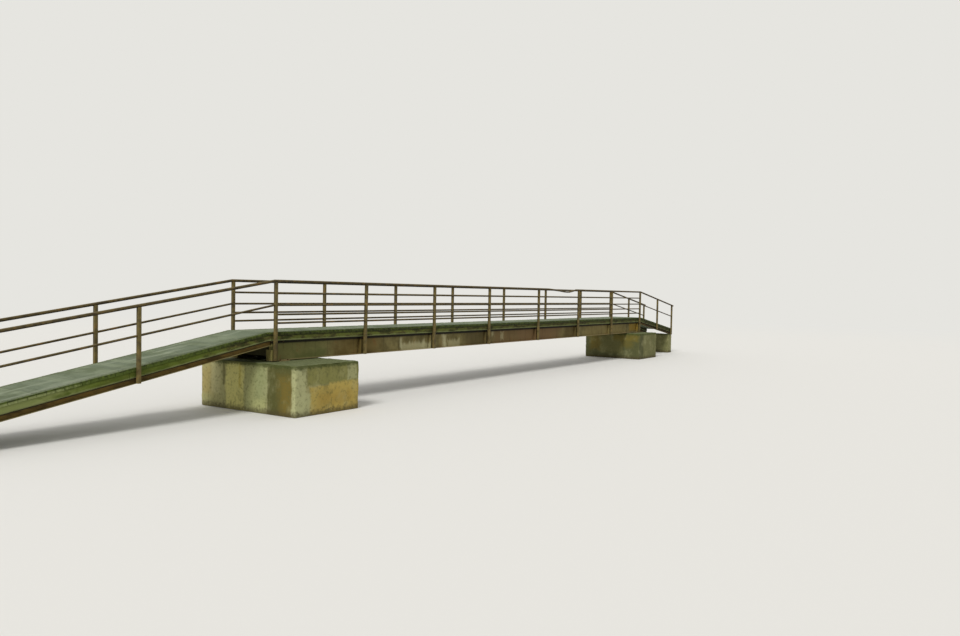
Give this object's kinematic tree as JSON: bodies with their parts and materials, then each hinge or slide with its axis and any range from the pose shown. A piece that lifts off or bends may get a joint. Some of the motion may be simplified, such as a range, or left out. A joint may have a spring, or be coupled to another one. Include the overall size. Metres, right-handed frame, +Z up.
{
  "type": "footbridge",
  "caption": "Straight timber-decked footbridge on steel girders and concrete abutments, with a ramp at each end and pipe railings.",
  "frame": {"origin": "middle of the bridge's box in plan, on the level of its lowest footings; the walkway's middle line is at y = 0.25 m", "axes": "+X along the bridge from the long ramp to the short ramp, +Y from the front railing to the back one, +Z up"},
  "size_m": [29.48, 2.8, 2.667],
  "materials": {
    "concrete": "weathered board-marked concrete with moss and ochre stains",
    "girder_steel": "rusted brown paint",
    "railing_steel": "rusted brown paint",
    "deck_timber": "weathered grey-green planks",
    "mossy_timber": "damp timber under moss and lichen"
  },
  "bodies": {
    "root": {"left_abutment": "concrete", "right_abutment": "concrete", "left_ramp_footing": "concrete", "right_ramp_footing": "concrete", "front_girder": "girder_steel", "back_girder": "girder_steel", "cross_channels": "girder_steel", "bearing_plates": "girder_steel", "front_nailer": "mossy_timber", "back_nailer": "mossy_timber", "main_deck": "deck_timber", "left_ramp_stringers": "railing_steel", "right_ramp_stringers": "railing_steel", "left_ramp_nailers": "mossy_timber", "right_ramp_nailers": "mossy_timber", "ramp_hangers": "girder_steel", "left_ramp_deck": "deck_timber", "right_ramp_deck": "deck_timber", "front_post_1": "railing_steel", "front_post_2": "railing_steel", "front_post_3": "railing_steel", "front_post_4": "railing_steel", "front_post_5": "railing_steel", "front_post_6": "railing_steel", "front_post_7": "railing_steel", "front_post_8": "railing_steel", "back_post_1": "railing_steel", "back_post_2": "railing_steel", "back_post_3": "railing_steel", "back_post_4": "railing_steel", "back_post_5": "railing_steel", "back_post_6": "railing_steel", "back_post_7": "railing_steel", "back_post_8": "railing_steel", "left_ramp_front_posts": "railing_steel", "left_ramp_back_posts": "railing_steel", "right_ramp_front_posts": "railing_steel", "right_ramp_back_posts": "railing_steel", "front_top_rail": "railing_steel", "back_top_rail": "railing_steel", "front_mid_rail": "railing_steel", "back_mid_rail": "railing_steel", "front_infill_rails": "railing_steel", "back_infill_rails": "railing_steel"}
  },
  "joints": []
}
